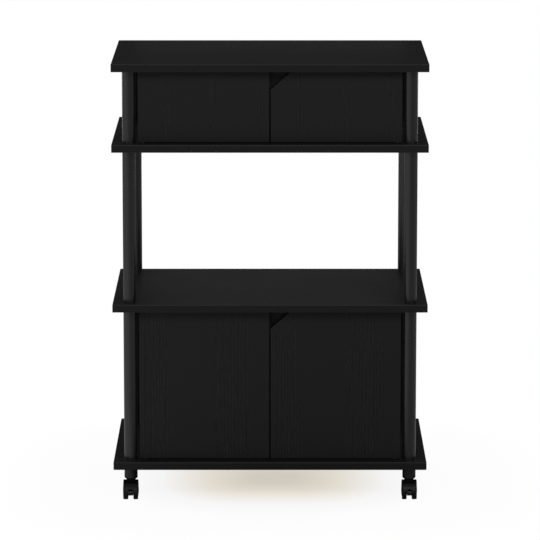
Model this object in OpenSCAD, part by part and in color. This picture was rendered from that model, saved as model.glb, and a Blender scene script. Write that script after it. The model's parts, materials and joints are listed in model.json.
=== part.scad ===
// Kitchen trolley: four boards on round posts, two cabinets with doors, and four twin-wheel casters
// Millimetres. The origin is on the floor under the middle, +X is right, -Y is the front and +Z is up

/* [Boards] */
// Width of every board, side to side
board_w = 600; // [560:1:680]
// Depth of every board, front to rear
board_d = 394; // [380:1:460]
// Thickness of every board
board_t = 15; // [14:0.5:18]
// Radius of the boards' corners, seen from above
board_corner_r = 3; // [1:0.5:5]
// Radius along the boards' upper and lower edges
board_edge_r = 1.2; // [0.5:0.1:2]

/* [Posts] */
// Outside diameter of the posts
post_od = 25.4; // [24:0.1:28]
// Wall of the post tubes
post_wall = 1.8; // [1.5:0.1:2.5]
// Post axis in from the boards' side edges
post_side_inset = 32.5; // [30:0.5:40]
// Post axis in from the boards' front and rear edges
post_end_inset = 34; // [33:0.5:38]
// Height of the open lower cabinet tier
lower_tier_h = 292; // [240:1:340]
// Height of the open middle tier
middle_tier_h = 292; // [200:1:360]
// Height of the upper cabinet tier
upper_tier_h = 138; // [120:1:200]

/* [Post joints] */
// Diameter of the studs that join posts through a board
stud_d = 10; // [8:0.5:12]
// Length of a stud inside a post's plug
stud_in_plug = 15; // [12:0.5:17]
// Depth of the blind stud holes under the top board
stud_in_top = 10; // [8:0.5:12]
// Depth of the stud holes in the feet
stud_in_foot = 9; // [7:0.5:10]
// Length of the plugs pressed into the posts' ends
plug_l = 18; // [18:0.5:30]
// Radial clearance of the plugs in the posts
plug_fit = 0.1; // [0.05:0.01:0.15]
// Radial clearance of the studs in plugs, boards and feet
stud_fit = 0.08; // [0.04:0.01:0.15]
// Space beyond the end of a stud in a blind hole
stud_end_gap = 0.5; // [0.2:0.1:0.8]

/* [Feet] */
// Height of a foot between its caster and the bottom shelf
foot_h = 23; // [22:0.5:30]
// Chamfer round the lower end of a foot
foot_chamfer = 1.6; // [0.5:0.1:2.5]

/* [Doors] */
// Thickness of the doors
door_t = 15; // [13:0.5:18]
// Door front face behind the boards' front edge
door_setback = 28; // [26:0.5:32]
// Gap between a post and the outer edge of a door
door_post_gap = 4.2; // [3.5:0.1:6]
// Gap between the two doors of a cabinet
door_centre_gap = 2; // [1.5:0.1:5]
// Gap over a door
door_top_gap = 1.5; // [1:0.1:3]
// Gap under a door
door_bottom_gap = 1.5; // [1.2:0.1:3]
// Radius of the doors' upright edges
door_edge_r = 1; // [0.5:0.1:2]
// Width of the finger notch across a right door's top inner corner
notch_w = 40; // [25:1:60]
// Height of the finger notch
notch_h = 35; // [20:1:50]

/* [Door pins] */
// Diameter of the door pins
pin_d = 6; // [5:0.5:7]
// Depth of a pin in the board
pin_in_board = 10; // [8:0.5:12]
// Depth of a pin in the door
pin_in_door = 10; // [8:0.5:20]
// Pin axis in from the outer edge of a door
pin_inset = 9.7; // [9:0.1:11]
// Radial clearance of a pin in its door
pin_fit = 0.08; // [0.04:0.01:0.1]
// Radial clearance of a pin in its board
pin_seat_fit = 0.03; // [0.01:0.01:0.06]
// Diameter of the washer on each pin
washer_d = 9; // [8:0.5:12]
// Running gap between a washer and its door
washer_gap = 0.3; // [0.2:0.05:0.5]

/* [Cabinet panels] */
// Thickness of the side panels
side_t = 15; // [12:0.5:18]
// Side panel's outer face in from the outer edge of a door
side_inset = 1.6; // [0.5:0.1:4]
// Side panels' rear edge in from the boards' rear edge
side_rear_inset = 27; // [20:1:60]
// Clearance behind the corner that a turning door sweeps
swing_gap = 0.8; // [0.5:0.1:2]
// Thickness of the stop rail over the doors' backs
rail_t = 15; // [12:0.5:18]
// Height of the stop rail
rail_h = 50; // [44:1:60]
// Thickness of the back panels
back_t = 3; // [2.5:0.1:5]
// Depth of the grooves that hold a back panel
groove_depth = 5; // [3:0.5:7]
// Rear face of the grooves in from the side panels' rear edge
groove_inset = 8; // [5:0.5:20]
// Clearance of a back panel in its grooves, on each side
groove_fit = 0.2; // [0.1:0.05:0.4]
// Gap over a back panel
back_top_gap = 0.4; // [0.2:0.1:0.8]

/* [Dowels] */
// Diameter of the dowels
dowel_d = 8; // [6:0.5:8]
// Length of the dowels
dowel_l = 30; // [25:1:35]
// Depth of a dowel in a board or side panel
dowel_bite = 9; // [8:0.5:10]
// Radial clearance of the dowels
dowel_fit = 0.05; // [0.02:0.01:0.1]
// Space beyond each end of a dowel
dowel_end_gap = 0.6; // [0.3:0.1:1]
// Dowel axis in from the front and rear edges of a side panel
dowel_inset = 45; // [35:1:80]
// Half of the distance between the two dowels at a rail's end
rail_dowel_offset = 13; // [10:0.5:16]

/* [Magnetic catches] */
// Diameter of the barrel magnets
magnet_d = 10; // [8:0.5:12]
// Depth of a magnet in its rail
magnet_bite = 11; // [8:0.5:11]
// Magnet axis from the middle of the cabinet
magnet_x = 70; // [50:1:110]
// Gap between a magnet and the closed door
magnet_gap = 0.5; // [0.3:0.1:1]
// Radial clearance of a magnet in its rail
magnet_fit = 0.05; // [0.02:0.01:0.1]

/* [Caster wheels] */
// Height from the floor to the underside of the feet
caster_h = 39; // [39:0.5:42]
// Radius of the wheels
wheel_r = 18; // [17:0.1:18]
// Gap between the two wheels of a caster
wheel_gap = 10.3; // [10.3:0.1:11]
// Width of a wheel's tread
tread_w = 8.4; // [7:0.1:8.6]
// Radius of the tread's shoulders
shoulder_r = 1.6; // [0.8:0.1:2.5]
// Height of the domed cap on a wheel's outer face
dome_h = 1.7; // [1:0.1:2.5]
// Radius of the domed cap
dome_r = 14; // [12:0.1:15]
// Radius of the dimple in the middle of that cap
dimple_r = 3.2; // [2.5:0.1:4]
// Depth of the dimple
dimple_depth = 0.6; // [0.3:0.1:1]
// Radius of the ring pressed round the cap
cap_ring_r = 9.5; // [8:0.1:11]
// Radius of that ring's section
cap_ring_section = 0.4; // [0.2:0.1:0.6]
// Radius of the step round a wheel's hub
hub_r = 6; // [5:0.1:7]
// Depth of the recess between hub and rim
hub_recess = 2.4; // [1:0.1:3]
// Width of the rim outside that recess
rim_t = 3.5; // [3:0.1:5]
// Number of ribs across that recess
rib_count = 8; // [6:1:12]
// Thickness of the ribs
rib_t = 1.2; // [0.8:0.1:2]
// Ribs' edges in from the wheel's inner face
rib_inset = 0.6; // [0.4:0.1:1]
// Diameter of the axle
axle_d = 5; // [4:0.5:5.5]
// Radial running clearance on the axle
axle_fit = 0.05; // [0.02:0.01:0.1]
// Radial clearance of the axle in its cover
axle_seat_fit = 0.02; // [0.01:0.01:0.04]
// Axle end short of the tread's outer face
axle_end_inset = 1; // [0.5:0.1:2]

/* [Caster covers] */
// Distance from the stem axis forward to the axle
trail = 13; // [12:0.1:13.2]
// Clearance between wheels and cover
cover_gap = 0.8; // [0.5:0.1:1.2]
// Wall of the curved cover
cover_wall = 1.6; // [1.2:0.1:1.8]
// Cover's edge outside the tread, on each side
cover_side = 0.75; // [0.4:0.05:1]
// Radius along the cover's outer edges
cover_edge_r = 1; // [0.4:0.1:1.1]
// Height of the cover's front edge over the floor
cover_front_z = 3.5; // [2.5:0.1:8]
// Angle that the cover reaches below level at the rear
cover_rear_angle = 18; // [0:1:30]
// Diameter of the swivel neck
neck_d = 18; // [16:0.5:19]
// Gap between the neck and the foot
neck_gap = 0.5; // [0.4:0.1:1]
// Half width of the web between the wheels, round the stem
web_half = 4.7; // [4.5:0.05:4.8]
// Half width of the web between the brake arms
thin_web_half = 3.2; // [2.5:0.1:3.3]
// Height of the web's lower edge over the floor
web_z = 12; // [10:0.5:13]
// Web's front edge short of the cover's inner face
web_front_gap = 5.8; // [4.5:0.1:8]

/* [Caster stems] */
// Diameter of the stem in the foot
stem_d = 8; // [7.5:0.1:9]
// Depth of the stem in the foot
stem_in_foot = 10; // [8:0.5:11]
// Diameter of the stem's journal in the cover
journal_d = 6; // [5:0.1:6.2]
// Height of the journal's lower end over the floor
journal_z = 14.5; // [14:0.5:18]
// Radial running clearance of the journal
journal_fit = 0.05; // [0.02:0.01:0.1]
// Radial clearance of the stem in the foot
stem_seat_fit = 0.03; // [0.01:0.01:0.06]
// Gap between the stem's shoulder and the neck
shoulder_gap = 0.2; // [0.1:0.05:0.3]

/* [Brake levers] */
// Half width of the slot in a front caster's cover
slot_half = 5.3; // [5.1:0.1:6]
// Height of the slot's arched top over the floor
slot_top_z = 24.5; // [21:0.5:26]
// Radial thickness of the brake pedal
pedal_t = 4; // [3:0.1:5]
// Height of the pedal's lower edge over the floor
pedal_z = 11.5; // [10:0.5:13]
// Height of the pedal's face
pedal_h = 8.5; // [6:0.5:9]
// Half width of the brake lever
lever_half = 4.8; // [4.5:0.05:4.9]
// Gap between a brake arm and the web
arm_gap = 0.2; // [0.15:0.05:0.4]
// Radius of the lever's eye round the axle
eye_r = 5.6; // [4.5:0.1:5.8]
// Pedal's front face outside the cover's
pedal_proud = 0.2; // [0:0.05:0.3]
// Radius of the grip grooves across the pedal
grip_r = 0.6; // [0.3:0.1:0.8]
// Distance between the grip grooves
grip_pitch = 2; // [1.6:0.1:2.4]

/* [Hidden] */
$fn = 96;
// Overlap of a cut past the face it opens
cut = 1;
// Overlap of a rib with the wheel it joins
rib_bite = 0.5;
LEFT = -1;
RIGHT = 1;
FRONT = -1;
REAR = 1;

post_x = board_w / 2 - post_side_inset;
post_y = board_d / 2 - post_end_inset;
post_id = post_od - 2 * post_wall;

// Each board's underside and each tier's floor
bottom_board_z = caster_h + foot_h;
lower_tier_z = bottom_board_z + board_t;
middle_board_z = lower_tier_z + lower_tier_h;
middle_tier_z = middle_board_z + board_t;
upper_board_z = middle_tier_z + middle_tier_h;
upper_tier_z = upper_board_z + board_t;
top_board_z = upper_tier_z + upper_tier_h;

door_edge_x = post_x - post_od / 2 - door_post_gap;
door_w = door_edge_x - door_centre_gap / 2;
door_front_y = -board_d / 2 + door_setback;
door_back_y = door_front_y + door_t;
pin_x = door_edge_x - pin_inset;
pin_y = door_front_y + door_t / 2;
door_sweep_r = sqrt(pow(pin_inset, 2) + pow(door_t / 2, 2));

side_outer_x = door_edge_x - side_inset;
side_inner_x = side_outer_x - side_t;
side_front_y = pin_y + door_sweep_r + swing_gap;
side_rear_y = board_d / 2 - side_rear_inset;
side_mid_x = side_outer_x - side_t / 2;
groove_rear_y = side_rear_y - groove_inset;
groove_w = back_t + 2 * groove_fit;
rail_mid_y = side_front_y + rail_t / 2;
dowel_ys = [side_front_y + dowel_inset, side_rear_y - dowel_inset];

cover_r = wheel_r + cover_gap;
cover_outer_r = cover_r + cover_wall;
wheel_face_x = wheel_gap / 2;
tread_face_x = wheel_face_x + tread_w;
cover_half = tread_face_x + cover_side;
axle_half = tread_face_x - axle_end_inset;
neck_top_z = caster_h - neck_gap;

// Plane shapes

module rounded_rect(w, h, r) {
    square([w - 2 * r, h], center = true);
    square([w, h - 2 * r], center = true);
    for (x = [-1, 1], y = [-1, 1]) translate([x * (w / 2 - r), y * (h / 2 - r)]) circle(r);
}

module ring(outer_r, inner_r) {
    difference() {
        circle(outer_r);
        circle(inner_r);
    }
}

// Boards

// A board's blank, with its underside at the origin
module board_blank() {
    translate([0, 0, board_t / 2])
        intersection() {
            linear_extrude(board_t, center = true) rounded_rect(board_w, board_d, board_corner_r);
            rotate([90, 0, 0])
                linear_extrude(board_d + cut, center = true) rounded_rect(board_w, board_t, board_edge_r);
            rotate([90, 0, 90])
                linear_extrude(board_w + cut, center = true) rounded_rect(board_d, board_t, board_edge_r);
        }
}

module at_posts() {
    for (side = [LEFT, RIGHT], end = [FRONT, REAR]) translate([side * post_x, end * post_y, 0]) children();
}

// Holes for pins and dowels in a face of a board at height z, going up or down by dir
module cabinet_holes(z, dir) {
    pin_hole = pin_in_board + cut;
    dowel_hole = dowel_bite + dowel_end_gap + cut;
    for (side = [LEFT, RIGHT]) {
        translate([side * pin_x, pin_y, z + dir * (pin_hole / 2 - cut)])
            cylinder(h = pin_hole, d = pin_d + 2 * pin_seat_fit, center = true);
        for (y = dowel_ys) translate([side * side_mid_x, y, z + dir * (dowel_hole / 2 - cut)])
            cylinder(h = dowel_hole, d = dowel_d + 2 * dowel_fit, center = true);
    }
}

// A board that posts and studs pass, at height z
module drilled_board(z) {
    difference() {
        translate([0, 0, z]) board_blank();
        at_posts() translate([0, 0, z - cut]) cylinder(h = board_t + 2 * cut, d = stud_d + 2 * stud_fit);
    }
}

module top_board() {
    color("#2b2a29") difference() {
        translate([0, 0, top_board_z]) board_blank();
        at_posts() translate([0, 0, top_board_z - cut])
            cylinder(h = cut + stud_in_top + stud_end_gap, d = stud_d + 2 * stud_fit);
        cabinet_holes(top_board_z, 1);
    }
}

module upper_shelf() {
    color("#2b2a29") difference() {
        drilled_board(upper_board_z);
        cabinet_holes(upper_tier_z, -1);
    }
}

module middle_shelf() {
    color("#2b2a29") difference() {
        drilled_board(middle_board_z);
        cabinet_holes(middle_board_z, 1);
    }
}

module bottom_shelf() {
    color("#2b2a29") difference() {
        drilled_board(bottom_board_z);
        cabinet_holes(lower_tier_z, -1);
    }
}

// Posts

// A tube of the post, standing at one corner between two boards
module post(side, end, z, h) {
    color("#1c1c1d") translate([side * post_x, end * post_y, z]) difference() {
        cylinder(h = h, d = post_od);
        translate([0, 0, -cut]) cylinder(h = h + 2 * cut, d = post_id);
    }
}

module upper_post(side, end) {
    post(side, end, upper_tier_z, upper_tier_h);
}

module middle_post(side, end) {
    post(side, end, middle_tier_z, middle_tier_h);
}

module lower_post(side, end) {
    post(side, end, lower_tier_z, lower_tier_h);
}

module upper_post_front_left() upper_post(LEFT, FRONT);
module upper_post_front_right() upper_post(RIGHT, FRONT);
module upper_post_rear_left() upper_post(LEFT, REAR);
module upper_post_rear_right() upper_post(RIGHT, REAR);
module middle_post_front_left() middle_post(LEFT, FRONT);
module middle_post_front_right() middle_post(RIGHT, FRONT);
module middle_post_rear_left() middle_post(LEFT, REAR);
module middle_post_rear_right() middle_post(RIGHT, REAR);
module lower_post_front_left() lower_post(LEFT, FRONT);
module lower_post_front_right() lower_post(RIGHT, FRONT);
module lower_post_rear_left() lower_post(LEFT, REAR);
module lower_post_rear_right() lower_post(RIGHT, REAR);

// A plug fills each end of every post, and studs screw into the plugs
module post_plugs() {
    plug_d = post_id - 2 * plug_fit;
    tiers = [[lower_tier_z, lower_tier_h], [middle_tier_z, middle_tier_h], [upper_tier_z, upper_tier_h]];
    color("#3a3a3a") at_posts() for (tier = tiers, z = [tier[0], tier[0] + tier[1] - plug_l])
        translate([0, 0, z]) difference() {
            cylinder(h = plug_l, d = plug_d);
            translate([0, 0, -cut]) cylinder(h = plug_l + 2 * cut, d = stud_d + 2 * stud_fit);
        }
}

module post_studs() {
    through = 2 * stud_in_plug + board_t;
    color("#9a9a98") at_posts() {
        translate([0, 0, bottom_board_z - stud_in_foot])
            cylinder(h = stud_in_foot + board_t + stud_in_plug, d = stud_d);
        for (z = [middle_board_z, upper_board_z]) translate([0, 0, z - stud_in_plug])
            cylinder(h = through, d = stud_d);
        translate([0, 0, top_board_z - stud_in_plug]) cylinder(h = stud_in_plug + stud_in_top, d = stud_d);
    }
}

// A foot carries the bottom shelf on each caster's stem
module foot(side, end) {
    color("#1c1c1d") translate([side * post_x, end * post_y, caster_h]) difference() {
        union() {
            cylinder(h = foot_chamfer, d1 = post_od - 2 * foot_chamfer, d2 = post_od);
            translate([0, 0, foot_chamfer]) cylinder(h = foot_h - foot_chamfer, d = post_od);
        }
        translate([0, 0, foot_h - stud_in_foot - stud_end_gap])
            cylinder(h = stud_in_foot + stud_end_gap + cut, d = stud_d + 2 * stud_fit);
        translate([0, 0, -cut])
            cylinder(h = cut + stem_in_foot + stud_end_gap, d = stem_d + 2 * stem_seat_fit);
    }
}

module foot_front_left() foot(LEFT, FRONT);
module foot_front_right() foot(RIGHT, FRONT);
module foot_rear_left() foot(LEFT, REAR);
module foot_rear_right() foot(RIGHT, REAR);

// Doors

// A door of one tier, with its pin bores, and a finger notch where it is a right door
module door(side, z, h) {
    door_h = h - door_top_gap - door_bottom_gap;
    door_z = z + door_bottom_gap;
    color("#232221") difference() {
        translate([side * (door_centre_gap + door_w) / 2, pin_y, door_z])
            linear_extrude(door_h) rounded_rect(door_w, door_t, door_edge_r);
        for (bore_z = [door_z - cut, door_z + door_h - pin_in_door - washer_gap])
            translate([side * pin_x, pin_y, bore_z])
                cylinder(h = pin_in_door + washer_gap + cut, d = pin_d + 2 * pin_fit);
        if (side == RIGHT) translate([door_centre_gap / 2, door_back_y + cut, door_z + door_h])
            rotate([90, 0, 0]) linear_extrude(door_t + 2 * cut) notch();
    }
}

// The triangle of the notch, with the door's top inner corner at the origin
module notch() {
    slope = notch_h / notch_w;
    polygon([[-cut, -notch_h - cut * slope], [notch_w + cut / slope, cut], [-cut, cut]]);
}

module upper_door_left() door(LEFT, upper_tier_z, upper_tier_h);
module upper_door_right() door(RIGHT, upper_tier_z, upper_tier_h);
module lower_door_left() door(LEFT, lower_tier_z, lower_tier_h);
module lower_door_right() door(RIGHT, lower_tier_z, lower_tier_h);

// Each door turns on two pins, whose washers hold it off the boards
module door_pins(z, h) {
    color("#8d8d8b") for (side = [LEFT, RIGHT]) translate([side * pin_x, pin_y, 0]) {
        translate([0, 0, z - pin_in_board])
            cylinder(h = pin_in_board + door_bottom_gap + pin_in_door, d = pin_d);
        translate([0, 0, z]) cylinder(h = door_bottom_gap - washer_gap, d = washer_d);
        translate([0, 0, z + h - door_top_gap - pin_in_door])
            cylinder(h = pin_in_door + door_top_gap + pin_in_board, d = pin_d);
        translate([0, 0, z + h - door_top_gap + washer_gap])
            cylinder(h = door_top_gap - washer_gap, d = washer_d);
    }
}

module upper_door_pins() door_pins(upper_tier_z, upper_tier_h);
module lower_door_pins() door_pins(lower_tier_z, lower_tier_h);

// Cabinet panels

// Dowel holes along X in a side panel or rail, from the joint's plane inwards by dir
module rail_dowel_holes(x, dir, bite, rail_z) {
    hole_l = bite + dowel_end_gap + cut;
    for (dz = [-rail_dowel_offset, rail_dowel_offset])
        translate([x + dir * (hole_l / 2 - cut), rail_mid_y, rail_z + rail_h / 2 + dz]) rotate([0, 90, 0])
            cylinder(h = hole_l, d = dowel_d + 2 * dowel_fit, center = true);
}

module side_panel(side, z, h) {
    hole_l = dowel_l - dowel_bite + dowel_end_gap + cut;
    color("#242322") difference() {
        translate([side * side_mid_x - side_t / 2, side_front_y, z])
            cube([side_t, side_rear_y - side_front_y, h]);
        translate([side * side_inner_x, groove_rear_y - groove_w / 2, z + h / 2])
            cube([2 * groove_depth, groove_w, h + 2 * cut], center = true);
        for (y = dowel_ys, hole_z = [z - cut, z + h + cut - hole_l])
            translate([side * side_mid_x, y, hole_z]) cylinder(h = hole_l, d = dowel_d + 2 * dowel_fit);
        rail_dowel_holes(side * side_inner_x, side, dowel_bite, z + h - rail_h);
    }
}

module upper_side_left() side_panel(LEFT, upper_tier_z, upper_tier_h);
module upper_side_right() side_panel(RIGHT, upper_tier_z, upper_tier_h);
module lower_side_left() side_panel(LEFT, lower_tier_z, lower_tier_h);
module lower_side_right() side_panel(RIGHT, lower_tier_z, lower_tier_h);

// A back panel slides in the side panels' grooves
module back_panel(z, h) {
    half_w = side_inner_x + groove_depth - groove_fit;
    color("#1e1d1c") translate([-half_w, groove_rear_y - groove_fit - back_t, z])
        cube([2 * half_w, back_t, h - back_top_gap]);
}

module upper_back() back_panel(upper_tier_z, upper_tier_h);
module lower_back() back_panel(lower_tier_z, lower_tier_h);

// The doors' catches sit in a rail under the board over each cabinet
module stop_rail(z, h) {
    rail_z = z + h - rail_h;
    color("#242322") difference() {
        translate([-side_inner_x, side_front_y, rail_z]) cube([2 * side_inner_x, rail_t, rail_h]);
        for (side = [LEFT, RIGHT]) {
            rail_dowel_holes(side * side_inner_x, -side, dowel_l - dowel_bite, rail_z);
            translate([side * magnet_x, side_front_y + magnet_bite, rail_z + rail_h / 2]) rotate([90, 0, 0])
                cylinder(h = magnet_bite + cut, d = magnet_d + 2 * magnet_fit);
        }
    }
}

module upper_stop_rail() stop_rail(upper_tier_z, upper_tier_h);
module lower_stop_rail() stop_rail(lower_tier_z, lower_tier_h);

module catch_magnets() {
    magnet_l = magnet_bite + side_front_y - door_back_y - magnet_gap;
    color("#b9b9b6") for (top_z = [middle_board_z, top_board_z], side = [LEFT, RIGHT])
        translate([side * magnet_x, side_front_y + magnet_bite, top_z - rail_h / 2])
            rotate([90, 0, 0]) cylinder(h = magnet_l, d = magnet_d);
}

// Dowels join the side panels to the boards and the rails to the side panels
module panel_dowels() {
    tiers = [[lower_tier_z, lower_tier_h], [upper_tier_z, upper_tier_h]];
    color("#b08d5e") for (tier = tiers, side = [LEFT, RIGHT]) {
        for (y = dowel_ys, z = [tier[0] - dowel_bite, tier[0] + tier[1] + dowel_bite - dowel_l])
            translate([side * side_mid_x, y, z]) cylinder(h = dowel_l, d = dowel_d);
        for (dz = [-rail_dowel_offset, rail_dowel_offset])
            translate([side * (side_inner_x + dowel_bite - dowel_l / 2), rail_mid_y,
                       tier[0] + tier[1] - rail_h / 2 + dz])
                rotate([0, 90, 0]) cylinder(h = dowel_l, d = dowel_d, center = true);
    }
}

// Casters

module at_caster(side, end) translate([side * post_x, end * post_y, 0]) children();

// Frame on the axle: local x is forward, y is up and z is along the axle
module on_axle() translate([0, -trail, wheel_r]) rotate([90, 0, -90]) children();

// The curved cover over the wheels, from its front edge over the top to the rear
module cover_shell() {
    front_angle = asin((cover_front_z - wheel_r) / cover_outer_r);
    sweep = 180 + cover_rear_angle - front_angle;
    on_axle() rotate([0, 0, front_angle]) rotate_extrude(angle = sweep) {
        translate([cover_r, -cover_half]) square([cover_wall - cover_edge_r, 2 * cover_half]);
        translate([cover_r, cover_edge_r - cover_half]) square([cover_wall, 2 * (cover_half - cover_edge_r)]);
        for (y = [-1, 1]) translate([cover_outer_r - cover_edge_r, y * (cover_half - cover_edge_r)])
            intersection() {
                circle(cover_edge_r);
                translate([0, -cover_edge_r]) square([cover_edge_r, 2 * cover_edge_r]);
            }
    }
}

// The web between the wheels, from local x = x0 to x1, half_w to each side
module web(x0, x1, half_w) {
    on_axle() linear_extrude(2 * half_w, center = true) intersection() {
        circle(cover_r + cover_wall / 2);
        translate([x0, web_z - wheel_r]) square([x1 - x0, cover_outer_r + wheel_r - web_z]);
    }
}

module caster_cover(side, end, braked) {
    web_front = cover_r - web_front_gap;
    thick_front = braked ? -eye_r - cover_gap : web_front;
    color("#161616") at_caster(side, end) difference() {
        union() {
            cover_shell();
            web(-cover_r, thick_front, web_half);
            if (braked) web(thick_front, web_front, thin_web_half);
            difference() {
                translate([0, 0, wheel_r]) cylinder(h = neck_top_z - wheel_r, d = neck_d);
                on_axle() cylinder(h = neck_d + cut, r = cover_r + cover_wall / 2, center = true);
            }
        }
        translate([0, 0, journal_z - shoulder_gap]) cylinder(h = caster_h, d = journal_d + 2 * journal_fit);
        on_axle() cylinder(h = neck_d, d = axle_d + 2 * axle_seat_fit, center = true);
        if (braked) brake_slot();
    }
}

// The arched slot in the front of a cover
module brake_slot() {
    arch_z = slot_top_z - slot_half;
    translate([0, -trail - cover_r + web_front_gap, 0]) rotate([90, 0, 0]) linear_extrude(cover_outer_r) {
        translate([-slot_half, 0]) square([2 * slot_half, arch_z]);
        translate([0, arch_z]) circle(slot_half);
    }
}

module caster_stem(side, end) {
    shoulder_z = neck_top_z + shoulder_gap;
    color("#a9a9a7") at_caster(side, end) {
        translate([0, 0, journal_z]) cylinder(h = shoulder_z - journal_z, d = journal_d);
        translate([0, 0, shoulder_z]) cylinder(h = caster_h + stem_in_foot - shoulder_z, d = stem_d);
    }
}

module caster_axle(side, end) {
    color("#a9a9a7") at_caster(side, end) on_axle() cylinder(h = 2 * axle_half, d = axle_d, center = true);
}

// Half section of a wheel: x is the radius and y the distance from its inner face
module wheel_section() {
    dome_sphere_r = (pow(dome_r, 2) + pow(dome_h, 2)) / (2 * dome_h);
    dome_centre_y = tread_w + dome_h - dome_sphere_r;
    cap_ring_y = dome_centre_y + sqrt(pow(dome_sphere_r, 2) - pow(cap_ring_r, 2));
    difference() {
        union() {
            square([wheel_r - shoulder_r, tread_w]);
            translate([0, shoulder_r]) square([wheel_r, tread_w - 2 * shoulder_r]);
            for (y = [shoulder_r, tread_w - shoulder_r])
                translate([wheel_r - shoulder_r, y]) circle(shoulder_r);
            intersection() {
                translate([0, dome_centre_y]) circle(dome_sphere_r, $fn = 360);
                translate([0, tread_w - cut]) square([dome_r, dome_h + cut]);
            }
        }
        translate([hub_r, -cut]) square([wheel_r - rim_t - hub_r, hub_recess + cut]);
        translate([0, -cut]) square([axle_d / 2 + axle_fit, cut + axle_half - wheel_face_x + axle_fit]);
        translate([0, tread_w + dome_h - dimple_depth]) square([dimple_r, dimple_depth + cut]);
        translate([cap_ring_r, cap_ring_y]) circle(cap_ring_section);
    }
}

// The ribs between a wheel's hub and rim
module wheel_ribs() {
    rib_l = wheel_r - rim_t - hub_r + 2 * rib_bite;
    for (i = [0:rib_count - 1]) rotate([0, 0, i * 360 / rib_count])
        translate([hub_r - rib_bite, -rib_t / 2, rib_inset])
            cube([rib_l, rib_t, hub_recess + rib_bite - rib_inset]);
}

// One of the two wheels of a caster
module wheel(side, end, hand) {
    color("#101010") at_caster(side, end) on_axle() mirror([0, 0, hand == RIGHT ? 1 : 0])
        translate([0, 0, wheel_face_x]) {
            rotate_extrude() wheel_section();
            wheel_ribs();
        }
}

// The lever turns on the axle: its pedal shows in the slot, and pressing it locks the wheels
module brake_lever(side) {
    pedal_r = cover_outer_r + pedal_proud;
    pedal_y = pedal_z - wheel_r;
    grip_angle = asin((pedal_y + pedal_h / 2) / pedal_r);
    grip_step = 2 * asin(grip_pitch / 2 / pedal_r);
    color("#3b3b3a") at_caster(side, FRONT) on_axle() difference() {
        union() {
            linear_extrude(2 * lever_half, center = true) difference() {
                intersection() {
                    ring(pedal_r, pedal_r - pedal_t);
                    translate([0, pedal_y]) square([pedal_r, pedal_h]);
                }
                for (i = [-1, 0, 1]) rotate([0, 0, grip_angle + i * grip_step])
                    translate([pedal_r, 0]) circle(grip_r);
            }
            for (hand = [-1, 1]) translate([0, 0, hand * (lever_half + thin_web_half + arm_gap) / 2])
                linear_extrude(lever_half - thin_web_half - arm_gap, center = true) {
                    circle(eye_r);
                    intersection() {
                        circle(pedal_r - pedal_t / 2);
                        translate([0, pedal_y]) square([pedal_r, pedal_h]);
                    }
                }
        }
        cylinder(h = 2 * lever_half + cut, d = axle_d + 2 * axle_fit, center = true);
    }
}

module caster_cover_front_left() caster_cover(LEFT, FRONT, true);
module caster_cover_front_right() caster_cover(RIGHT, FRONT, true);
module caster_cover_rear_left() caster_cover(LEFT, REAR, false);
module caster_cover_rear_right() caster_cover(RIGHT, REAR, false);
module caster_stem_front_left() caster_stem(LEFT, FRONT);
module caster_stem_front_right() caster_stem(RIGHT, FRONT);
module caster_stem_rear_left() caster_stem(LEFT, REAR);
module caster_stem_rear_right() caster_stem(RIGHT, REAR);
module caster_axle_front_left() caster_axle(LEFT, FRONT);
module caster_axle_front_right() caster_axle(RIGHT, FRONT);
module caster_axle_rear_left() caster_axle(LEFT, REAR);
module caster_axle_rear_right() caster_axle(RIGHT, REAR);
module front_left_wheel_outer() wheel(LEFT, FRONT, LEFT);
module front_left_wheel_inner() wheel(LEFT, FRONT, RIGHT);
module front_right_wheel_inner() wheel(RIGHT, FRONT, LEFT);
module front_right_wheel_outer() wheel(RIGHT, FRONT, RIGHT);
module rear_left_wheel_outer() wheel(LEFT, REAR, LEFT);
module rear_left_wheel_inner() wheel(LEFT, REAR, RIGHT);
module rear_right_wheel_inner() wheel(RIGHT, REAR, LEFT);
module rear_right_wheel_outer() wheel(RIGHT, REAR, RIGHT);
module brake_lever_left() brake_lever(LEFT);
module brake_lever_right() brake_lever(RIGHT);

top_board();
upper_shelf();
middle_shelf();
bottom_shelf();
upper_post_front_left();
upper_post_front_right();
upper_post_rear_left();
upper_post_rear_right();
middle_post_front_left();
middle_post_front_right();
middle_post_rear_left();
middle_post_rear_right();
lower_post_front_left();
lower_post_front_right();
lower_post_rear_left();
lower_post_rear_right();
post_plugs();
post_studs();
foot_front_left();
foot_front_right();
foot_rear_left();
foot_rear_right();
upper_door_left();
upper_door_right();
lower_door_left();
lower_door_right();
upper_door_pins();
lower_door_pins();
upper_side_left();
upper_side_right();
lower_side_left();
lower_side_right();
upper_back();
lower_back();
upper_stop_rail();
lower_stop_rail();
catch_magnets();
panel_dowels();
caster_cover_front_left();
caster_cover_front_right();
caster_cover_rear_left();
caster_cover_rear_right();
caster_stem_front_left();
caster_stem_front_right();
caster_stem_rear_left();
caster_stem_rear_right();
caster_axle_front_left();
caster_axle_front_right();
caster_axle_rear_left();
caster_axle_rear_right();
front_left_wheel_outer();
front_left_wheel_inner();
front_right_wheel_outer();
front_right_wheel_inner();
rear_left_wheel_outer();
rear_left_wheel_inner();
rear_right_wheel_outer();
rear_right_wheel_inner();
brake_lever_left();
brake_lever_right();
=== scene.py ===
"""Looks of a kitchen trolley: black laminate boards and doors, plastic posts and twin-wheel casters."""

import json
import math

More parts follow.
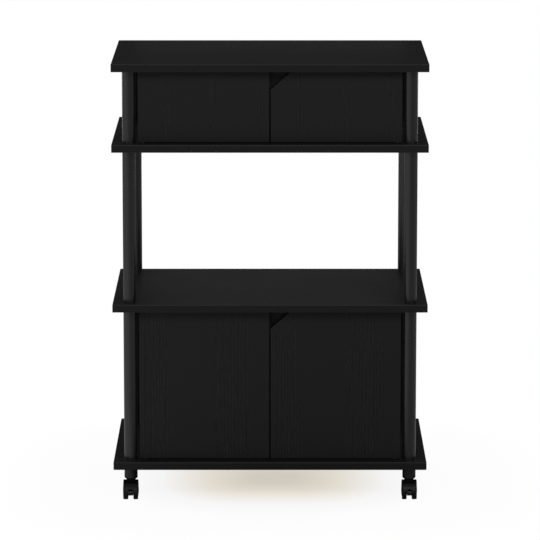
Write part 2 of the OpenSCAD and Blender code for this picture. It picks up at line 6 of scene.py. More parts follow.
import bmesh
import bpy
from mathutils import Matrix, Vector


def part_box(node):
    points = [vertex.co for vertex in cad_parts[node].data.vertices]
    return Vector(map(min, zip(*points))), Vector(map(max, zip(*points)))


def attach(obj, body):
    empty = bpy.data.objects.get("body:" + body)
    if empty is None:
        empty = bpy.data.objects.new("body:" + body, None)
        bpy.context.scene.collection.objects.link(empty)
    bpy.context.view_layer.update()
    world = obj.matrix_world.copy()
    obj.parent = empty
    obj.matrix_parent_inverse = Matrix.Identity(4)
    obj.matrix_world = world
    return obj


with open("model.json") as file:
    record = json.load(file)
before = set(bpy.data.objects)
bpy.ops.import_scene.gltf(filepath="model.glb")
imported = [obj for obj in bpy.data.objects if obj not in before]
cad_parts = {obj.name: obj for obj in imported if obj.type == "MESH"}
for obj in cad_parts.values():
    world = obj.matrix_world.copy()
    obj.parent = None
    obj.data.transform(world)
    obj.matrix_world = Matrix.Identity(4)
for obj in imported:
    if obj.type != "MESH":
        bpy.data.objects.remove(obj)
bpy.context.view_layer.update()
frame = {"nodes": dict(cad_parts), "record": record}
scene = bpy.context.scene
NODES = frame["nodes"]
TIERS = ("upper", "lower")
SIDES = ("left", "right")

# Camera, fitted to the boards' corners and the casters in the photograph (metres, degrees, millimetres)
CAMERA_Y = -7.2266
CAMERA_Z = 1.7068
CAMERA_TILT = 10.125
CAMERA_LENS = 250.83
CAMERA_SENSOR = 36.0
CAMERA_REACH = 60.0

WHITE = (1, 1, 1, 1)

# Where nearly all values of a noise lie
NOISE_SPAN = (0.3, 0.7)


def srgb(level, tint=(1.0, 1.0, 1.0)):
    """Linear colour of an sRGB level from 0 to 255, times a tint."""
    c = level / 255
    linear = c / 12.92 if c <= 0.04045 else ((c + 0.055) / 1.055) ** 2.4
    return tuple(linear * t for t in tint) + (1.0,)


class Tree:
    """Short calls that build the node tree of one material or world."""

    def __init__(self, name, kind="materials"):
        self.block = getattr(bpy.data, kind).new(name)
        self.block.use_nodes = True
        self.nodes = self.block.node_tree.nodes
        self.links = self.block.node_tree.links
        self.nodes.clear()
        self.coords = self.nodes.new("ShaderNodeTexCoord")

    def set(self, socket, value):
        if isinstance(value, bpy.types.NodeSocket):
            self.links.new(value, socket)
        else:
            socket.default_value = value

    def math(self, operation, a, b=0.0, c=0.0):
        node = self.nodes.new("ShaderNodeMath")
        node.operation = operation
        for socket, value in zip(node.inputs, (a, b, c)):
            self.set(socket, value)
        return node.outputs[0]

    def position(self, scale, offset=(0, 0, 0), source=None):
        """Object coordinates, or those of source, times scale. A single number scales all three axes."""
        node = self.nodes.new("ShaderNodeMapping")
        self.links.new(source or self.coords.outputs["Object"], node.inputs["Vector"])
        node.inputs["Scale"].default_value = scale if isinstance(scale, tuple) else (scale,) * 3
        node.inputs["Location"].default_value = offset
        return node.outputs[0]

    def split(self, vector):
        node = self.nodes.new("ShaderNodeSeparateXYZ")
        self.links.new(vector, node.inputs[0])
        return node.outputs

    def join(self, x, y, z):
        node = self.nodes.new("ShaderNodeCombineXYZ")
        for socket, value in zip(node.inputs, (x, y, z)):
            self.set(socket, value)
        return node.outputs[0]

    def noise(self, vector, detail=2.0, roughness=0.5):
        node = self.nodes.new("ShaderNodeTexNoise")
        self.links.new(vector, node.inputs["Vector"])
        for key, value in (("Scale", 1.0), ("Detail", detail), ("Roughness", roughness)):
            node.inputs[key].default_value = value
        return node.outputs["Fac"]

    def cells(self, scale):
        """Distance to the nearest of points that lie scale to a metre."""
        node = self.nodes.new("ShaderNodeTexVoronoi")
        self.links.new(self.position(1), node.inputs["Vector"])
        node.inputs["Scale"].default_value = scale
        return node.outputs["Distance"]

    def ramp(self, value, low, high, out_low=0.0, out_high=1.0, smooth=False):
        node = self.nodes.new("ShaderNodeMapRange")
        node.interpolation_type = "SMOOTHSTEP" if smooth else "LINEAR"
        self.links.new(value, node.inputs["Value"])
        for key, number in (("From Min", low), ("From Max", high),
                            ("To Min", out_low), ("To Max", out_high)):
            self.set(node.inputs[key], number)
        return node.outputs["Result"]

    def spread(self, noise, low, high):
        """A noise stretched to run from low to high."""
        return self.ramp(noise, *NOISE_SPAN, low, high)

    def mix(self, factor, a, b):
        node = self.nodes.new("ShaderNodeMix")
        node.data_type = "RGBA"
        for socket, value in ((node.inputs[0], factor), (node.inputs[6], a), (node.inputs[7], b)):
            self.set(socket, value)
        return node.outputs[2]

    def mottle(self, noise, dark, light):
        """Colour between dark and light after a noise."""
        return self.mix(self.spread(noise, 0.0, 1.0), dark, light)

    def bump(self, height, distance):
        node = self.nodes.new("ShaderNodeBump")
        node.inputs["Distance"].default_value = distance
        self.links.new(height, node.inputs["Height"])
        return node.outputs[0]

    def finish(self, color, roughness, normal, **fixed):
        """Principled shader and output. fixed are values that are the same all over the surface."""
        shader = self.nodes.new("ShaderNodeBsdfPrincipled")
        self.set(shader.inputs["Base Color"], color)
        self.set(shader.inputs["Roughness"], roughness)
        self.links.new(normal, shader.inputs["Normal"])
        for key, value in fixed.items():
            shader.inputs[key.replace("_", " ")].default_value = value
        return self.output(shader.outputs[0])

    def output(self, surface, kind="ShaderNodeOutputMaterial"):
        self.links.new(surface, self.nodes.new(kind).inputs["Surface"])
        return self.block

    def is_camera_ray(self):
        return self.nodes.new("ShaderNodeLightPath").outputs["Is Camera Ray"]


def middle(node):
    """Centre of a CAD node's box."""
    low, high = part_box(node)
    return (Vector(low) + Vector(high)) / 2


# Laminates

# Grain bands pressed into the laminate: centre and half width, from a door's left edge and from the
# boards' middle
DOOR_BANDS = {
    "upper": [(0.055, 0.007), (0.1425, 0.007), (0.230, 0.007)],
    "lower": [(0.027, 0.031), (0.179, 0.037)],
}
BOARD_BANDS = [(-0.12, 0.07)]
# How soft the bands' edges are on doors and panels and on boards, and how strong the boards' bands are
BAND_SOFT = 0.006
BOARD_BAND_SOFT = 0.03
BOARD_BAND_SHARE = 0.7
# A panel's band, which comes again and again
PANEL_BAND = (0.035, 0.03)
PANEL_PITCH = 0.145
# How far left of the right-hand doors and below the upper doors their own bands already count
DOOR_ROOM = (0.001, 0.01)
# Distance between two grooves in a band, how far the grain wanders, and how far the bands' edges wander
GROOVE = 0.0057
DRIFT = 0.009
BAND_DRIFT = 0.005

# Scales of the noises, in waves to a metre: along the grain and across it, or the same all round
WANDER_SCALE = (5.0, 90.0)
BAND_SCALE = 9.0
DASH_SCALE = (80, 180, 1)
PORE_SCALE = (45, 600, 1)
FIGURE_SCALE = (40, 200, 1)
SMUDGE_SCALE = 7
SKIN_SCALE = 520

# Shifts that keep the pores and the figure apart from the dashes
PORE_SHIFT = (3.1, 7.7, 0)
FIGURE_SHIFT = (1.7, 2.9, 0)
# Where the face's look comes in and where the painted edge highlight does, by how far a normal turns towards
# the face
FACE_TURN = (0.75, 0.95)
HIGHLIGHT_TURN = (0.1, 0.3)
# Part of the comb's wave at which a ridge or a groove starts
COMB_FROM = 0.1
# Part of their noise over which dashes and pores come in, and how strong the dashes get
DASH_SPAN = (0.36, 0.66)
DASH_GAIN = 1.15
PORE_SPAN = (0.52, 0.68)

# Levels as shares of the laminate's own, on its edges, ridges, grooves and pores
LAMINATE_TINT = (1.0, 1.0, 0.99)
EDGE_SHADE = 0.84
RIDGE_SHADE = 1.28
GROOVE_SHADE = 0.72
PORE_SHADE = 0.55
# How strong the pores are, and how much of that is left outside the bands
PORE_SHARE = 0.35
PORES_OUTSIDE = 0.3
# Share of the painted edge highlight that an edge on the lower side of a board has
HIGHLIGHT_BELOW = 0.35
# Roughness of the smoothest and dullest places, how much duller the grooves are, and the specular level
LAMINATE_ROUGH = (0.445, 0.475)
GROOVE_ROUGH = 0.1
LAMINATE_SPECULAR = 0.16
# Depth of the grain, and the ridges, pores and skin as shares of it
GRAIN_DEPTH = 0.00008
RIDGE_DEPTH = 0.5
PORE_DEPTH = 0.6
SKIN_DEPTH = 0.12


def bands_at(tree, value, places, soft=BAND_SOFT):
    """1 inside the bands, fading to 0 over their edges."""
    total = 0.0
    for centre, half in places:
        off = tree.math("ABSOLUTE", tree.math("SUBTRACT", value, centre))
        total = tree.math("ADD", tree.ramp(off, half - soft, half + soft, 1.0, 0.0, smooth=True), total)
    return total


def door_bands(tree, place):
    """Upright bands on a door, in the same places on the one beside it."""
    left, right = (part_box(f"lower_door_{side}")[0][0] for side in SIDES)
    on_right = tree.math("GREATER_THAN", place[0], right - DOOR_ROOM[0])
    edge = tree.math("ADD", left, tree.math("MULTIPLY", on_right, right - left))
    from_edge = tree.math("SUBTRACT", place[0], edge)
    is_upper = tree.math("GREATER_THAN", place[2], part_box("upper_door_left")[0][2] - DOOR_ROOM[1])
    upper = tree.math("MULTIPLY", bands_at(tree, from_edge, DOOR_BANDS["upper"]), is_upper)
    lower = tree.math("MULTIPLY", bands_at(tree, from_edge, DOOR_BANDS["lower"]),
                      tree.math("SUBTRACT", 1.0, is_upper))
    return tree.math("ADD", upper, lower)


def board_bands(tree, place):
    return tree.math("MULTIPLY", bands_at(tree, place[1], BOARD_BANDS, BOARD_BAND_SOFT), BOARD_BAND_SHARE)


def panel_bands(tree, place):
    """Bands that come again across a panel. The added metre keeps the value above zero."""
    repeated = tree.math("MODULO", tree.math("ADD", place[1], 1.0), PANEL_PITCH)
    return bands_at(tree, repeated, [PANEL_BAND])


def no_bands(tree, place):
    return 0.0


def laminate(name, level, axes, bands, seed, figured=0.025, edge_highlight=1.0):
    """Black laminate. axes are the grain's, the cross and the face's direction as 0, 1 or 2.

    A band of grain is a comb of fine grooves, broken into dashes. Short pores lie everywhere. The edges
    carry a smooth band. figured is how much the colour varies along the grain, and edge_highlight is how
    much paler the laminate is painted where it bends round a rounded edge: a painted highlight.
    """
    tree = Tree(name)
    place = tree.split(tree.coords.outputs["Object"])
    normal = tree.split(tree.coords.outputs["Normal"])
    run, across, flat = place[axes[0]], place[axes[1]], normal[axes[2]]
    face = tree.ramp(tree.math("ABSOLUTE", flat), *FACE_TURN, smooth=True)
    wander = tree.noise(tree.join(tree.math("MULTIPLY", run, WANDER_SCALE[0]),
                                  tree.math("MULTIPLY", across, WANDER_SCALE[1]), seed))
    bent = tree.math("ADD", across, tree.math("MULTIPLY", wander, DRIFT))
    edge_of_band = tree.noise(tree.join(tree.math("MULTIPLY", run, BAND_SCALE), seed, 3.0))
    shifted = [tree.math("ADD", axis, tree.ramp(edge_of_band, 0.0, 1.0, -BAND_DRIFT, BAND_DRIFT))
               for axis in place]
    mask = tree.math("MULTIPLY", bands(tree, shifted), face)

    space = tree.join(run, bent, seed)
    comb = tree.math("SINE", tree.math("MULTIPLY", bent, 2 * math.pi / GROOVE))
    dashes = tree.noise(tree.position(DASH_SCALE, source=space))
    dashes = tree.math("MULTIPLY", tree.ramp(dashes, *DASH_SPAN, 0.0, DASH_GAIN, smooth=True), mask)
    ridges = tree.math("MULTIPLY", tree.ramp(comb, COMB_FROM, 1.0), dashes)
    grooves = tree.math("MULTIPLY", tree.ramp(comb, -COMB_FROM, -1.0), dashes)
    pores = tree.noise(tree.position(PORE_SCALE, PORE_SHIFT, space), detail=3.0, roughness=0.6)
    pores = tree.math("MULTIPLY", tree.ramp(pores, *PORE_SPAN, smooth=True),
                      tree.math("MULTIPLY", tree.ramp(mask, 0.0, 1.0, PORES_OUTSIDE, 1.0), face))

    figure = tree.noise(tree.position(FIGURE_SCALE, FIGURE_SHIFT, space))
    color = tree.mottle(figure, srgb(level * (1 - figured), LAMINATE_TINT),
                        srgb(level * (1 + figured), LAMINATE_TINT))
    color = tree.mix(face, srgb(level * EDGE_SHADE, LAMINATE_TINT), color)
    # Painted highlight: rounded edges are painted paler, more on upper edges than on lower ones
    below = tree.ramp(flat, -HIGHLIGHT_TURN[0], -HIGHLIGHT_TURN[1], 0.0, HIGHLIGHT_BELOW)
    highlight_share = tree.math("ADD", tree.ramp(flat, *HIGHLIGHT_TURN), below)
    highlight_share = tree.math("MULTIPLY", highlight_share, tree.math("SUBTRACT", 1.0, face))
    for share, shade in ((highlight_share, edge_highlight), (ridges, RIDGE_SHADE), (grooves, GROOVE_SHADE),
                         (tree.math("MULTIPLY", pores, PORE_SHARE), PORE_SHADE)):
        color = tree.mix(share, color, srgb(level * shade, LAMINATE_TINT))

    smudge = tree.noise(tree.position(SMUDGE_SCALE), detail=3.0, roughness=0.55)
    rough = tree.math("ADD", tree.spread(smudge, *LAMINATE_ROUGH),
                      tree.math("MULTIPLY", grooves, GROOVE_ROUGH))
    skin = tree.noise(tree.position(SKIN_SCALE))
    height = tree.math("SUBTRACT", tree.math("MULTIPLY", ridges, RIDGE_DEPTH), grooves)
    height = tree.math("SUBTRACT", height, tree.math("MULTIPLY", pores, PORE_DEPTH))
    height = tree.math("ADD", height, tree.math("MULTIPLY", skin, SKIN_DEPTH))
    return tree.finish(color, rough, tree.bump(height, GRAIN_DEPTH), Specular_IOR_Level=LAMINATE_SPECULAR)


# Fibreboard, plastics, metal and wood

# Moulded plastic: points of its grain in a metre, the grain's depth, and waves of its flow marks in a metre
MOULD_GRAIN = 1400.0
MOULD_DEPTH = 0.00003
FLOW_SCALE = 22
# Strips of painted shade on a caster's cover, near black along its sides: where they start from its middle,
# over what width, their level, and how much rougher they are
SHADE_STRIP_FROM = 0.0121
SHADE_STRIP_SOFT = 0.0004
SHADE_STRIP_LEVEL = 3
SHADE_STRIP_ROUGH = 0.5


def panel_face(name, level):
    """Plain painted fibreboard, with a fine felted tooth."""
    tree = Tree(name)
    fuzz = tree.noise(tree.position(900), detail=3.0, roughness=0.6)
    cloud = tree.noise(tree.position(9), detail=3.0)
    color = tree.mottle(cloud, srgb(level * 0.85), srgb(level * 1.12))
    return tree.finish(color, tree.spread(fuzz, 0.62, 0.78), tree.bump(fuzz, 0.00006),
                       Specular_IOR_Level=0.3)


def plastic(name, level, roughness, spec=0.45):
    """Moulded plastic with a spark-eroded grain and faint flow marks."""
    tree = Tree(name)
    fine = tree.cells(MOULD_GRAIN)
    cloud = tree.noise(tree.position(FLOW_SCALE), detail=4.0, roughness=0.6)
    color = tree.mottle(cloud, srgb(level * 0.88), srgb(level * 1.12))
    rough = tree.math("ADD", tree.spread(cloud, roughness - 0.04, roughness + 0.05),
                      tree.ramp(fine, 0.0, 0.6, 0.0, 0.04))
    return tree.finish(color, rough, tree.bump(fine, MOULD_DEPTH), Specular_IOR_Level=spec)


def cover_plastic(name, level, roughness, spec):
    """Glossier moulded plastic, with a strip of painted shade, near black and rougher, along each side of a
    caster's cover.
    """
    tree = Tree(name)
    x = tree.split(tree.coords.outputs["Object"])[0]
    off = tree.math("SUBTRACT", tree.math("ABSOLUTE", x), middle("caster_cover_front_right").x)
    painted_shade_strip = tree.ramp(tree.math("ABSOLUTE", off), SHADE_STRIP_FROM - SHADE_STRIP_SOFT, SHADE_STRIP_FROM, smooth=True)
    fine = tree.cells(MOULD_GRAIN)
    cloud = tree.noise(tree.position(FLOW_SCALE), detail=4.0, roughness=0.6)
    color = tree.mottle(cloud, srgb(level * 0.9), srgb(level * 1.1))
    # Painted shade: the cover's sides are painted near black
    color = tree.mix(painted_shade_strip, color, srgb(SHADE_STRIP_LEVEL))
    rough = tree.math("ADD", tree.spread(cloud, roughness - 0.03, roughness + 0.03),
                      tree.math("MULTIPLY", painted_shade_strip, SHADE_STRIP_ROUGH))
    return tree.finish(color, rough, tree.bump(fine, MOULD_DEPTH), Specular_IOR_Level=spec)


def post_finish(name, level):
    """Extruded tube: satin black, with faint draw lines along its length."""
    tree = Tree(name)
    lines = tree.noise(tree.position((420, 420, 1.5)), detail=3.0, roughness=0.6)
    cloud = tree.noise(tree.position((14, 14, 5)), detail=3.0, roughness=0.55)
    color = tree.mottle(lines, srgb(level * 0.9), srgb(level * 1.1))
    rough = tree.math("ADD", tree.spread(cloud, 0.18, 0.25), tree.spread(lines, -0.02, 0.03))
    return tree.finish(color, rough, tree.bump(lines, 0.00003), Specular_IOR_Level=0.5)


def steel(name, level, roughness):
    """Zinc-plated steel with turning marks."""
    tree = Tree(name)
    lines = tree.noise(tree.position((300, 300, 2600)), detail=3.0, roughness=0.6)
    cloud = tree.noise(tree.position(60), detail=3.0, roughness=0.6)
    color = tree.mottle(cloud, srgb(level * 0.92), srgb(level, (1.0, 1.0, 0.97)))
    rough = tree.spread(lines, roughness - 0.06, roughness + 0.08)
    return tree.finish(color, rough, tree.bump(lines, 0.00002), Metallic=1.0)


def beech(name):
    """Bare wood of the dowels."""
    tree = Tree(name)
    lines = tree.noise(tree.position((700, 700, 60)), detail=3.0, roughness=0.6)
    color = tree.mottle(lines, (0.42, 0.27, 0.14, 1), (0.62, 0.45, 0.27, 1))
    return tree.finish(color, 0.6, tree.bump(lines, 0.00008))


# Each finish: the function that makes it and that function's values
FINISHES = {
    # The boards get a strong painted highlight on their rounded edges
    "board_laminate": (laminate, dict(level=26, axes=(0, 1, 2), bands=board_bands, seed=1.0, figured=0.09,
                                      edge_highlight=2.2)),
    "door_laminate": (laminate, dict(level=27, axes=(2, 0, 1), bands=door_bands, seed=4.0)),
    "panel_laminate": (laminate, dict(level=25, axes=(2, 1, 0), bands=panel_bands, seed=8.0)),
    # The stop rails' laminate, painted lighter than the panels' as painted light in the top board's shade
    "rail_laminate": (laminate, dict(level=34, axes=(0, 2, 1), bands=no_bands, seed=6.0)),
    "back_board": (panel_face, dict(level=18)),
    "post_plastic": (post_finish, dict(level=22)),
    "plug_plastic": (plastic, dict(level=55, roughness=0.5)),
    "steel": (steel, dict(level=190, roughness=0.32)),
    "pin_plastic": (plastic, dict(level=96, roughness=0.45)),
    "dowel_wood": (beech, {}),
    "foot_plastic": (plastic, dict(level=22, roughness=0.36, spec=0.36)),
    "caster_plastic": (cover_plastic, dict(level=12, roughness=0.3, spec=0.33)),
    "wheel_plastic": (plastic, dict(level=15, roughness=0.5, spec=0.3)),
    "lever_plastic": (plastic, dict(level=23, roughness=0.45, spec=0.3)),
    # Pale plastic of the pedal lips: a painted highlight
    "lip_plastic": (plastic, dict(level=52, roughness=0.45, spec=0.4)),
}
MATERIALS = {name: make(name, **values) for name, (make, values) in FINISHES.items()}


def paint_nodes():
    """Gives each CAD node the material of its slot in the record, the feet's own finish, or the rails'
    lightened laminate.
    """
    # The stop rails get a lighter laminate: painted light where the top board shades them
    own = {f"{tier}_stop_rail": "rail_laminate" for tier in TIERS}
    for row in frame["record"]["subparts"]:
        node = row["node"]
        key = "foot_plastic" if node.startswith("foot_") else own.get(node, row["material_slot"])
        NODES[node].data.materials.clear()
        NODES[node].data.materials.append(MATERIALS[key])


# Small pieces that ride on the doors and the brake levers

# Lip along the top of a brake pedal: half width, lower and upper height over the floor, how far it stands
# out of the pedal and how deep it is buried
LIP_HALF = 0.0043
LIP_Z = (0.0172, 0.0193)
LIP_PROUD = 0.00025
LIP_BURIED = 0.0006
# Its crown's powers across and up, and its columns and rows of faces
LIP_POWERS = (8, 4)
LIP_GRID = (20, 10)
# Points of a lip closer than this become one
WELD = 1e-7
# Radius of the magnets that catch the doors
MAGNET_R = 0.005
# Strike plate on a door's back: radius and height over the door, from its buried back to the screw's recess
STRIKE = [(0.0, -0.0004), (0.008, -0.0004), (0.008, 0.00018), (0.0078, 0.0003), (0.0034, 0.0003),
          (0.0032, 0.0002), (0.003, 0.00024), (0.0013, 0.00026), (0.0011, 0.0002), (0.0009, -0.0003),
          (0.0, -0.0003)]


def add_piece(name, shape, body, material):
    """Closed mesh that moves with a CAD body."""
    bmesh.ops.recalc_face_normals(shape, faces=shape.faces)
    mesh = bpy.data.meshes.new(name)
    shape.to_mesh(mesh)
    shape.free()
    piece = bpy.data.objects.new(name, mesh)
    piece.data.materials.append(MATERIALS[material])
    for face in mesh.polygons:
        face.use_smooth = True
    scene.collection.objects.link(piece)
    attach(piece, body)


def pillow(columns, rows, front, back):
    """Closed skin of a cushion shape.

    front and back turn u and v, each from -1 to 1, into points, and the two meet at the rim.
    """
    shape = bmesh.new()
    skins = []
    for place in (front, back):
        skins.append([[shape.verts.new(place(2 * i / columns - 1, 2 * j / rows - 1))
                       for i in range(columns + 1)] for j in range(rows + 1)])
    for skin in skins:
        for low, high in zip(skin, skin[1:]):
            for a, b, c, d in zip(low, low[1:], high[1:], high):
                shape.faces.new((a, b, c, d))
    bmesh.ops.remove_doubles(shape, verts=shape.verts, dist=WELD)
    return shape


def lathe(profile, centre, segments=48):
    """Closed skin of a profile turned about the axis that leaves centre towards +Y."""
    shape = bmesh.new()
    rings = []
    for radius, height in profile:
        turns = [2 * math.pi * i / segments for i in range(segments if radius else 1)]
        rings.append([shape.verts.new((centre[0] + radius * math.cos(a), centre[1] + height,
                                       centre[2] + radius * math.sin(a))) for a in turns])
    for low, high in zip(rings, rings[1:]):
        for i in range(segments):
            j = (i + 1) % segments
            corners = (low[i % len(low)], low[j % len(low)], high[j % len(high)], high[i % len(high)])
            shape.faces.new(list(dict.fromkeys(corners)))
    return shape


def make_pedal_lips():
    """Pale lip along the top of each brake pedal: a painted highlight on the pedal's top edge."""
    for side in SIDES:
        axle = middle(f"caster_axle_front_{side}")
        pedal = axle.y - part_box(f"brake_lever_{side}")[0][1]
        low, high = (math.asin((z - axle.z) / pedal) for z in LIP_Z)

        def skin(u, v, proud):
            angle = low + (high - low) * (v + 1) / 2
            radius = pedal + proud * (1 - u ** LIP_POWERS[0]) * (1 - v ** LIP_POWERS[1])
            return (axle.x + LIP_HALF * u, axle.y - radius * math.cos(angle),
                    axle.z + radius * math.sin(angle))

        shape = pillow(*LIP_GRID, lambda u, v: skin(u, v, LIP_PROUD), lambda u, v: skin(u, v, -LIP_BURIED))
        add_piece(f"pedal_lip_{side}", shape, f"{side}_brake", "lip_plastic")


def make_strikes():
    """Steel strike plates, each held by a screw, where the doors meet the magnets in the rails."""
    low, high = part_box("catch_magnets")
    magnet_x = (high[0] - low[0]) / 2 - MAGNET_R
    for tier in TIERS:
        height = middle(f"{tier}_stop_rail").z
        for side, sign in zip(SIDES, (-1, 1)):
            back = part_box(f"{tier}_door_{side}")[1][1]
            shape = lathe(STRIKE, (sign * magnet_x, back, height))
            add_piece(f"{tier}_strike_{side}", shape, f"{tier}_{side}_door", "steel")


# Camera

def make_camera():
    data = bpy.data.cameras.new("camera")
    data.sensor_width = CAMERA_SENSOR
    data.lens = CAMERA_LENS
    data.clip_end = CAMERA_REACH
    camera = bpy.data.objects.new("camera", data)
    camera.location = (0, CAMERA_Y, CAMERA_Z)
    camera.rotation_euler = (math.radians(90 - CAMERA_TILT), 0, 0)
    scene.collection.objects.link(camera)
    scene.camera = camera


# World and side boxes

# Levels of the light: overall, everywhere, straight above, behind, and the left, right and front boxes
WORLD_LEVEL = 0.8
WORLD_BASE = 0.04
WORLD_TOP = 0.43
WORLD_BACK = 0.03
LEFT_BOX = 0.76
RIGHT_BOX = 0.18
FRONT_BOX = 0.55
# Shares of them at the left box's rear end and at the right box's front end
LEFT_REAR = 0.15
RIGHT_FRONT = 0.3

# The parts of a direction, from -1 to 1, between which each light fades in or out
TOP_Z = (0.8, 0.96)
BACK_Y = (0.3, 0.95)
SIDE_Z = (0.3, 0.75)
LEFT_X = (-0.9, 0.3)
LEFT_Y = (-0.3, 0.6)
RIGHT_X = (0.6, 0.95)
RIGHT_FRONT_Y = (-0.85, -0.1)
RIGHT_REAR_Y = (0.4, 0.9)
FRONT_Y = (-0.3, -0.7)
FRONT_LOW_Z = (0.04, 0.15)
FRONT_HIGH_Z = (0.35, 0.6)


def side_boxes(tree, x, y):
    """Level of the side boxes in the direction x, y: a wide one at the left and one at the right."""
    left = tree.ramp(x, *LEFT_X, LEFT_BOX, 0.0, smooth=True)
    left = tree.math("MULTIPLY", left, tree.ramp(y, *LEFT_Y, 1.0, LEFT_REAR))
    right = tree.math("MULTIPLY", tree.ramp(x, *RIGHT_X), tree.ramp(y, *RIGHT_FRONT_Y, RIGHT_FRONT, 1.0))
    right = tree.math("MULTIPLY", right, tree.ramp(y, *RIGHT_REAR_Y, RIGHT_BOX, 0.0))
    return tree.math("ADD", left, right)


def make_world():
    """White where the camera sees it. The object gets soft light from above and from boxes around it."""
    tree = Tree("studio", "worlds")
    x, y, z = tree.split(tree.coords.outputs["Generated"])
    level = tree.math("ADD", WORLD_BASE, tree.ramp(z, *TOP_Z, 0.0, WORLD_TOP, smooth=True))
    heights = tree.math("MULTIPLY", tree.ramp(z, *FRONT_LOW_Z), tree.ramp(z, *FRONT_HIGH_Z, 1.0, 0.0))
    front = tree.math("MULTIPLY", tree.ramp(y, *FRONT_Y, 0.0, FRONT_BOX, smooth=True), heights)
    level = tree.math("ADD", level, front)
    low = tree.ramp(tree.math("ABSOLUTE", z), *SIDE_Z, 1.0, 0.0, smooth=True)
    behind = tree.ramp(y, *BACK_Y, 0.0, WORLD_BACK, smooth=True)
    around = tree.math("ADD", side_boxes(tree, x, y), behind)
    level = tree.math("ADD", level, tree.math("MULTIPLY", around, low))
    level = tree.math("MULTIPLY", level, WORLD_LEVEL)
    background = tree.nodes.new("ShaderNodeBackground")
    background.inputs["Color"].default_value = WHITE
    tree.set(background.inputs["Strength"], tree.math("MAXIMUM", level, tree.is_camera_ray()))
    scene.world = tree.output(background.outputs[0], "ShaderNodeOutputWorld")


# Floor

FLOOR_RADIUS = 14
FLOOR_SEGMENTS = 96
# Floor colours: grey to the trolley, white to the camera, and a warm tint painted into the shadow
FLOOR_GREY = (0.02, 0.02, 0.02, 1)
FLOOR_WHITE = (0.90, 0.93, 0.98, 1)
SHADOW_TINT = (1.0, 0.935, 0.82, 1)
# Half width and half depth of the darkest part of the painted shadow, how far right its centre lies, and the
# power that rounds its corners
FOOTPRINT = (0.20, 0.20)
SHADOW_CENTRE = 0.008
SHADOW_POWER = 3.0
# Share of plain white in the painted shadow's middle, at its edge and beside it; the rest is the floor's
# real shading
SHADOW_LIFT = 0.62
EDGE_LIFT = 0.9
OPEN_LIFT = 0.965
# Where it goes from each to the next, and where the tint fades, as multiples of the footprint
CORE_REACH = (0.2, 1.1)
EDGE_REACH = (1.05, 1.6)
OPEN_REACH = (1.6, 3.2)
TINT_REACH = (0.6, 1.1)
# What the trolley sees on the floor: a level all round, a share of the boxes, and the share of both that is
# left far behind it
FLOOR_SHEEN = 0.33
FLOOR_BOXES = 0.55
FAR_BACK = 0.35
# Distances over which that comes in around the trolley, and over which it fades behind
SHEEN_FROM = (0.2, 0.63)
FAR_BACK_Y = (1.2, 2.4)
# Keeps a division at the floor's centre defined
LEAST_DISTANCE = 0.01


def shadow_reach(tree, x, y):
    """Distance from the painted shadow's centre, as a multiple of the footprint."""
    offset = tree.math("ABSOLUTE", tree.math("SUBTRACT", x, SHADOW_CENTRE))
    across = tree.math("DIVIDE", offset, FOOTPRINT[0])
    along = tree.math("DIVIDE", tree.math("ABSOLUTE", y), FOOTPRINT[1])
    total = tree.math("ADD", tree.math("POWER", across, SHADOW_POWER),
                      tree.math("POWER", along, SHADOW_POWER))
    return tree.math("POWER", total, 1 / SHADOW_POWER)


def floor_sheen(tree, x, y):
    """Light that the floor gives to the trolley and that the camera doesn't see."""
    distance = tree.math("SQRT", tree.math("ADD", tree.math("MULTIPLY", x, x), tree.math("MULTIPLY", y, y)))
    safe = tree.math("MAXIMUM", distance, LEAST_DISTANCE)
    boxes = side_boxes(tree, tree.math("DIVIDE", x, safe), tree.math("DIVIDE", y, safe))
    sheen = tree.math("MULTIPLY", tree.math("MULTIPLY_ADD", boxes, FLOOR_BOXES, FLOOR_SHEEN),
                      tree.ramp(distance, *SHEEN_FROM, smooth=True))
    return tree.math("MULTIPLY", sheen, tree.ramp(y, *FAR_BACK_Y, 1.0, FAR_BACK))


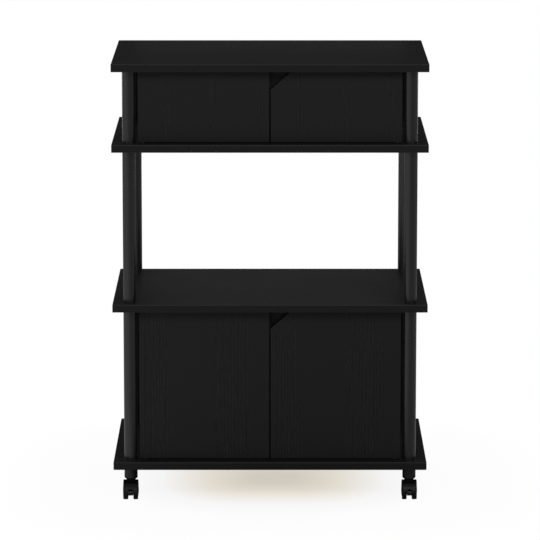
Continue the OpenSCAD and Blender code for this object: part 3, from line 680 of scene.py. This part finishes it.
def floor_material():
    """Pale floor: near the trolley it takes the real shadow, with a warm painted shadow laid over it for the
    camera; further off the camera sees plain white.
    """
    tree = Tree("floor")
    x, y = tree.split(tree.coords.outputs["Object"])[:2]
    camera = tree.is_camera_ray()
    reach = shadow_reach(tree, x, y)
    # Painted shadow: less plain white towards the middle, so the floor is darker there
    lift = tree.ramp(reach, *CORE_REACH, SHADOW_LIFT, EDGE_LIFT)
    for span, gain in ((EDGE_REACH, OPEN_LIFT - EDGE_LIFT), (OPEN_REACH, 1.0 - OPEN_LIFT)):
        lift = tree.math("ADD", lift, tree.ramp(reach, *span, 0.0, gain, smooth=True))

    shader = tree.nodes.new("ShaderNodeBsdfPrincipled")
    tree.set(shader.inputs["Base Color"], tree.mix(camera, FLOOR_GREY, FLOOR_WHITE))
    unseen = tree.math("SUBTRACT", 1.0, camera)
    tree.set(shader.inputs["Emission Strength"], tree.math("MULTIPLY", floor_sheen(tree, x, y), unseen))
    shader.inputs["Emission Color"].default_value = WHITE
    shader.inputs["Roughness"].default_value = 0.9
    shader.inputs["Specular IOR Level"].default_value = 0.0

    glow = tree.nodes.new("ShaderNodeEmission")
    # Painted shadow's warm tint, strongest in the middle
    tree.set(glow.inputs["Color"], tree.mix(tree.ramp(reach, *TINT_REACH), SHADOW_TINT, WHITE))
    mixer = tree.nodes.new("ShaderNodeMixShader")
    tree.set(mixer.inputs[0], tree.math("MULTIPLY", lift, camera))
    tree.links.new(shader.outputs[0], mixer.inputs[1])
    tree.links.new(glow.outputs[0], mixer.inputs[2])
    return tree.output(mixer.outputs[0])


def make_floor():
    mesh = bpy.data.meshes.new("floor")
    shape = bmesh.new()
    bmesh.ops.create_circle(shape, cap_ends=True, segments=FLOOR_SEGMENTS, radius=FLOOR_RADIUS)
    shape.to_mesh(mesh)
    shape.free()
    floor = bpy.data.objects.new("floor", mesh)
    floor.data.materials.append(floor_material())
    scene.collection.objects.link(floor)


# Lamps

# Each lamp: name, place, size, power in watts; all of them face AIM
AIM = Vector((0, 0, 0.42))
LAMPS = [
    ("key_left", (-1.9, -3.4, 2.6), (1.6, 1.2), 17),
    ("key_right", (1.9, -3.4, 2.6), (1.6, 1.2), 50),
    ("rim_left", (-2.6, 2.6, 1.0), (0.8, 1.6), 12),
    ("rim_right", (2.6, 2.6, 1.0), (0.8, 1.6), 10),
    ("glow_behind", (0.0, 0.6, 0.70), (0.55, 0.52), 0.085),
]


def make_lamps():
    for name, place, size, power in LAMPS:
        data = bpy.data.lights.new(name, "AREA")
        data.shape = "RECTANGLE"
        data.size, data.size_y = size
        data.energy = power
        lamp = bpy.data.objects.new(name, data)
        lamp.location = place
        lamp.rotation_euler = (AIM - Vector(place)).to_track_quat("-Z", "Y").to_euler()
        lamp.visible_camera = False
        scene.collection.objects.link(lamp)


make_camera()
make_floor()
make_world()
make_lamps()
paint_nodes()
make_pedal_lips()
make_strikes()

scene.view_settings.view_transform = "Standard"
